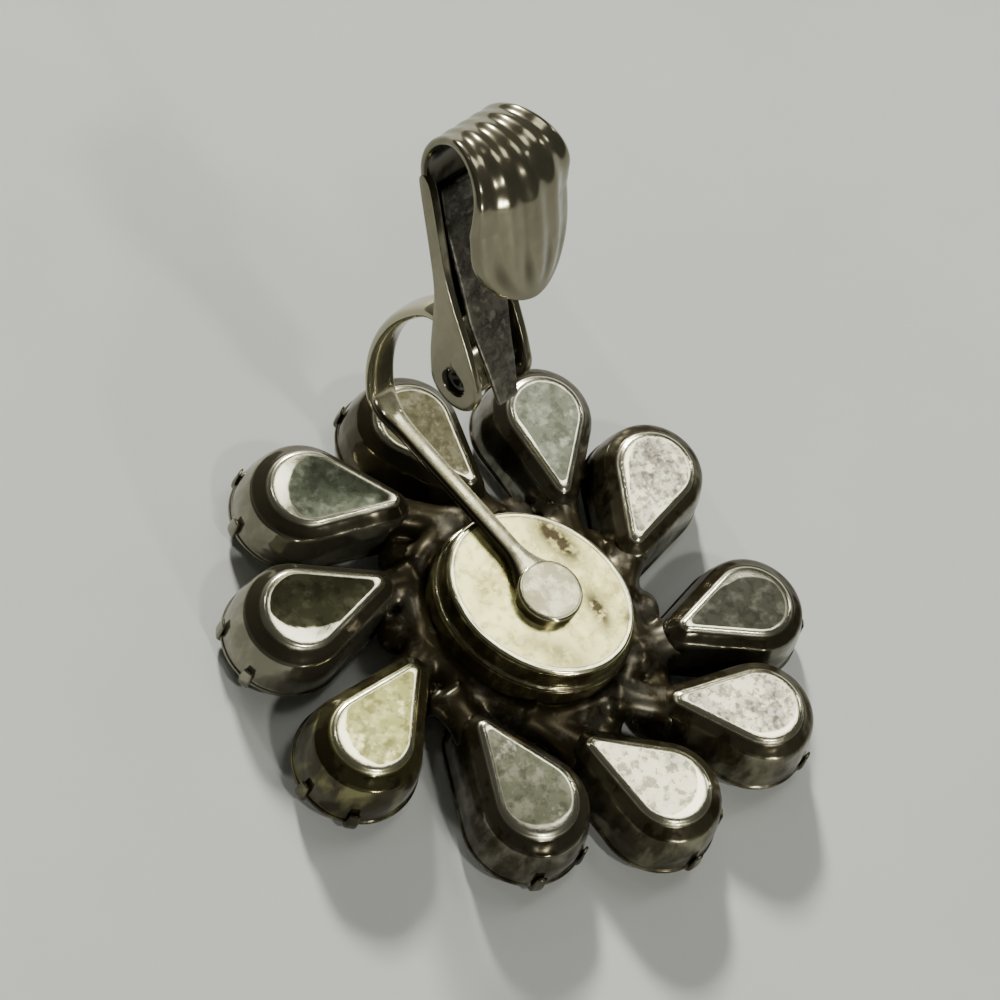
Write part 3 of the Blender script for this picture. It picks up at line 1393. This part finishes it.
    def side_grid(self, low_u: float) -> np.ndarray:
        """One side of the channel, bored for the pin.

        Formula: rays run from the bore to the outline on both faces, and quarter circles round
        the outline's edge, so the rows close into a ring through the bore.

        Args:
            low_u: place of the side's lower face across the paddle.

        Returns:
            A grid of points in the paddle's own axes.
        """
        edge = self.side_outline()
        away = edge / np.linalg.norm(edge, axis=1)[:, None]
        hole = away * self.bore_r
        t, soft = self.sheet_t / 2, self.edge_r
        shares = np.array([0.0, 0.03, 0.08, 0.2, 0.45, 0.75])
        face = hole + (edge - away * soft - hole) * shares[:, None, None]
        lift = np.array([-0.07, 0.0, 0.0, 0.0, 0.0, 0.0])
        a = np.radians([90.0, 60.0, 30.0, 0.0])
        rim = edge - away * (soft * (1 - np.cos(a)))[:, None, None]
        up = np.concatenate([t + lift, t - soft + soft * np.sin(a)])
        half = np.concatenate([face, rim])
        rows = np.concatenate([half, half[:-1][::-1]])
        u = np.concatenate([up, -up[:-1][::-1]]) + low_u + t
        return np.concatenate([np.broadcast_to(u[:, None, None], (*rows.shape[:2], 1)), rows], axis=-1)

    def build_paddle(self, aged: bpy.types.NodeTree) -> None:
        """Makes the paddle from its strip and its two sides, which are tarnished inside."""
        shell = Shell("clip_paddle")
        strip, grime = self.strip_grid()
        shell.add(self.place(strip), recess=grime)
        half = self.channel_w / 2
        for low, inwards in ((-half, 1.0), (half - self.sheet_t, -1.0)):
            side = self.side_grid(low)
            from_mid = (side[..., 0] - low - self.sheet_t / 2) * inwards
            shell.add(self.place(side), ring=True, recess=0.97 * smooth_step(from_mid, 0.05, 0.2))
        piece = shell.build(PADDLE_PLATE.material("paddle_plate", aged), sharp=45.0)
        dress(piece, Body.CLIP, Slot.CLIP, "paddle")

    def build_leaf(self, aged: bpy.types.NodeTree) -> None:
        """Makes the leaf spring, which narrows to its free tip over the knuckle."""
        path = [(12.2, 0.44), (9.5, 0.44), (6.0, 0.9), (2.5, 1.28), (0.5, 1.57), (-1.6, 1.76)]
        line = in_middle_plane(smooth_path(path, 8))
        half_w = np.interp(line[:, 1], [-1.7, 4.0, 12.2], [0.7, 1.45, 1.5])
        shell = Shell("clip_leaf")
        shell.add(self.place(sweep(line, half_w, 0.16, 5.0, 28)), flat=1.0)
        piece = shell.build(LEAF_STEEL.material("leaf_steel", aged))
        dress(piece, Body.CLIP, Slot.LEAF, "spring_leaf")

    def build_pin(self, aged: bpy.types.NodeTree) -> None:
        """Makes the hinge pin with a dimple in each end, from rows of radius and drop."""
        half = self.channel_w / 2 - self.pin_in
        rows = [(0.03, 0.45), (0.2, 0.42), (0.4, 0.22), (0.5, 0.16), (0.66, 0.16), (0.76, 0.22)]
        rows += [(self.pin_r, 0.32)]
        end = [(r, half - drop) for r, drop in rows]
        profile = np.array(end + [(r, -h) for r, h in end[::-1]])
        shell = Shell("clip_pin")
        shell.add(self.place(laid_across(lathe(profile, 48))), recess=0.95)
        piece = shell.build(PIN_STEEL.material("pin_steel", aged))
        dress(piece, Body.CLIP, Slot.CLIP, "hinge_pin")


@dataclass(frozen=True)
class Lamp:
    """An area light aimed at the earring."""

    name: str
    toward: tuple[float, float, float]
    distance: float
    size: tuple[float, float]
    watts: float
    colour: Colour = (1.0, 0.985, 0.90)

    def build(self, target: Vector) -> None:
        """Places the light and turns it to the target."""
        data = bpy.data.lights.new(self.name, "AREA")
        data.shape = "RECTANGLE"
        data.size, data.size_y = self.size
        data.energy = self.watts
        data.color = self.colour
        lamp = new_object(self.name, data)
        way = Vector(self.toward).normalized()
        lamp.location = target + way * self.distance
        lamp.rotation_mode = "QUATERNION"
        lamp.rotation_quaternion = way.to_track_quat("Z", "Y")


LAMPS = (
    Lamp("panel", (0.49, 0.13, 0.86), 0.42, (0.14, 0.14), 0.28),
    Lamp("upper_card", (0.50, 0.58, 0.60), 1.25, (0.30, 0.40), 0.24),
    Lamp("near_lamp", (-0.06, -0.58, 0.81), 1.5, (0.10, 0.10), 5.0),
    Lamp("far_lamp", (0.42, 0.77, 0.47), 1.5, (0.15, 0.15), 33.0),
    Lamp("low_lamp", (-0.22, -0.94, 0.25), 1.5, (0.12, 0.12), 9.0),
    Lamp("left_lamp", (-0.05, 0.48, 0.87), 1.5, (0.08, 0.08), 0.6),
    Lamp("right_lamp", (0.9, -0.1, 0.42), 1.5, (0.08, 0.08), 1.0),
)


@dataclass(frozen=True)
class Studio:
    """A pale floor, soft lights and a camera at the photograph's angle.

    The camera's station is the one that a pinhole camera fitted to the photograph has: its tilt
    from upright, its bearing, its roll and its distance from the oval plate's middle.
    """

    tilt: float = 31.7
    bearing: float = -163.6
    roll: float = 34.0
    distance: float = 165.2
    plate_z: float = 6.7
    photo_focal: float = 1800.0
    photo_frame: float = 1000.0
    photo_place: tuple[float, float] = (472.6, 695.2)
    sensor: float = 36.0
    zoom: float = 1.6
    clip_start: float = 0.01
    aim: tuple[float, float, float] = (0.9, 5.4, 8.5)
    floor_half: float = 2.0
    floor_dark: Colour = (0.62, 0.645, 0.64)
    floor_light: Colour = (0.66, 0.68, 0.675)
    room: Colour = (0.045, 0.045, 0.040)
    backdrop: Colour = (0.32, 0.32, 0.31)

    def axes(self) -> tuple[np.ndarray, np.ndarray]:
        """Works out the fitted camera's station and axes.

        Formula: the camera looks back along its direction, rolled about it, and is then turned
        so that the oval plate's middle lands on its place in the photograph.

        Returns:
            The station in millimetres, and rows for right, up and back.
        """
        t, a, r = (math.radians(v) for v in (self.tilt, self.bearing, self.roll))
        back = np.array([math.sin(t) * math.cos(a), math.sin(t) * math.sin(a), math.cos(t)])
        x0 = np.cross([0.0, 0.0, 1.0], back)
        x0 /= np.linalg.norm(x0)
        y0 = np.cross(back, x0)
        right = math.cos(r) * x0 + math.sin(r) * y0
        up = -math.sin(r) * x0 + math.cos(r) * y0
        half = self.photo_frame / 2
        ray = np.array([self.photo_place[0] - half, half - self.photo_place[1], -self.photo_focal])
        zc = -ray / np.linalg.norm(ray)
        xc = np.array([1.0, 0.0, 0.0]) - zc * zc[0]
        xc /= np.linalg.norm(xc)
        yc = np.cross(zc, xc)
        rows = np.outer(xc, right) + np.outer(yc, up) + np.outer(zc, back)
        return back * self.distance + np.array([0.0, 0.0, self.plate_z]), rows

    def build_camera(self) -> None:
        """Makes the camera at the fitted station and turns it, with no roll, to the aim."""
        station, rows = self.axes()
        new_back = Vector(station - np.array(self.aim)).normalized()
        turn = Vector(rows[2]).rotation_difference(new_back)
        right, up = turn @ Vector(rows[0]), turn @ Vector(rows[1])
        data = bpy.data.cameras.new("camera")
        data.sensor_width = self.sensor
        data.lens = self.sensor * self.photo_focal / self.photo_frame * self.zoom
        data.clip_start = self.clip_start
        world = Matrix((right, up, new_back)).transposed().to_4x4()
        world.translation = Vector(station * MM)
        camera = new_object("camera", data)
        camera.matrix_world = world
        bpy.context.scene.camera = camera

    def build_floor(self) -> None:
        """Makes the plain pale floor, with a trace of unevenness in its tone."""
        half = self.floor_half
        corners = [(-half, -half, 0), (half, -half, 0), (half, half, 0), (-half, half, 0)]
        mesh = bpy.data.meshes.new("floor")
        mesh.from_pydata(corners, [], [(0, 1, 2, 3)])
        made = bpy.data.materials.new("pale_floor")
        g = Graph.of(made)
        tone = g.ramp(g.noise(g.place(), 30.0, 4.0, 0.6), 0.3, 0.7)
        colour = g.mix(tone, (*self.floor_dark, 1.0), (*self.floor_light, 1.0))
        g.surface({"Base Color": colour, "Roughness": 0.7})
        mesh.materials.append(made)
        new_object("floor", mesh)

    def build_world(self) -> None:
        """Makes a dim room that the metal reflects, behind a pale backdrop that the camera sees."""
        world = bpy.data.worlds.new("room")
        bpy.context.scene.world = world
        g = Graph.of(world)
        seen = g.add("ShaderNodeLightPath").outputs["Is Camera Ray"]
        colour = g.mix(seen, (*self.room, 1.0), (*self.backdrop, 1.0))
        back = g.add("ShaderNodeBackground", {"Color": colour, "Strength": 1.0})
        g.add("ShaderNodeOutputWorld", {"Surface": back.outputs[0]})

    def build(self) -> None:
        """Makes the camera, the floor, the room and the lights."""
        self.build_camera()
        self.build_floor()
        self.build_world()
        target = Vector((0.0, 0.0, self.plate_z)) * MM
        for lamp in LAMPS:
            lamp.build(target)


def main() -> None:
    """Builds the studio and every piece of the earring, and writes both sizes."""
    logging.basicConfig(level=logging.INFO, format="%(name)s: %(message)s")
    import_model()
    Studio().build()
    aged = AgedPlate(mottle_group()).tree
    flower = Flower()
    flower.build_cups(aged)
    flower.build_oval_cup(aged)
    flower.build_bar(aged)
    Stones(flower).build(CrystalFinish().material("crystal"))
    Fitting().build(aged)
    clip = Clip()
    clip.build_paddle(aged)
    clip.build_leaf(aged)
    clip.build_pin(aged)


if __name__ == "__main__":
    main()
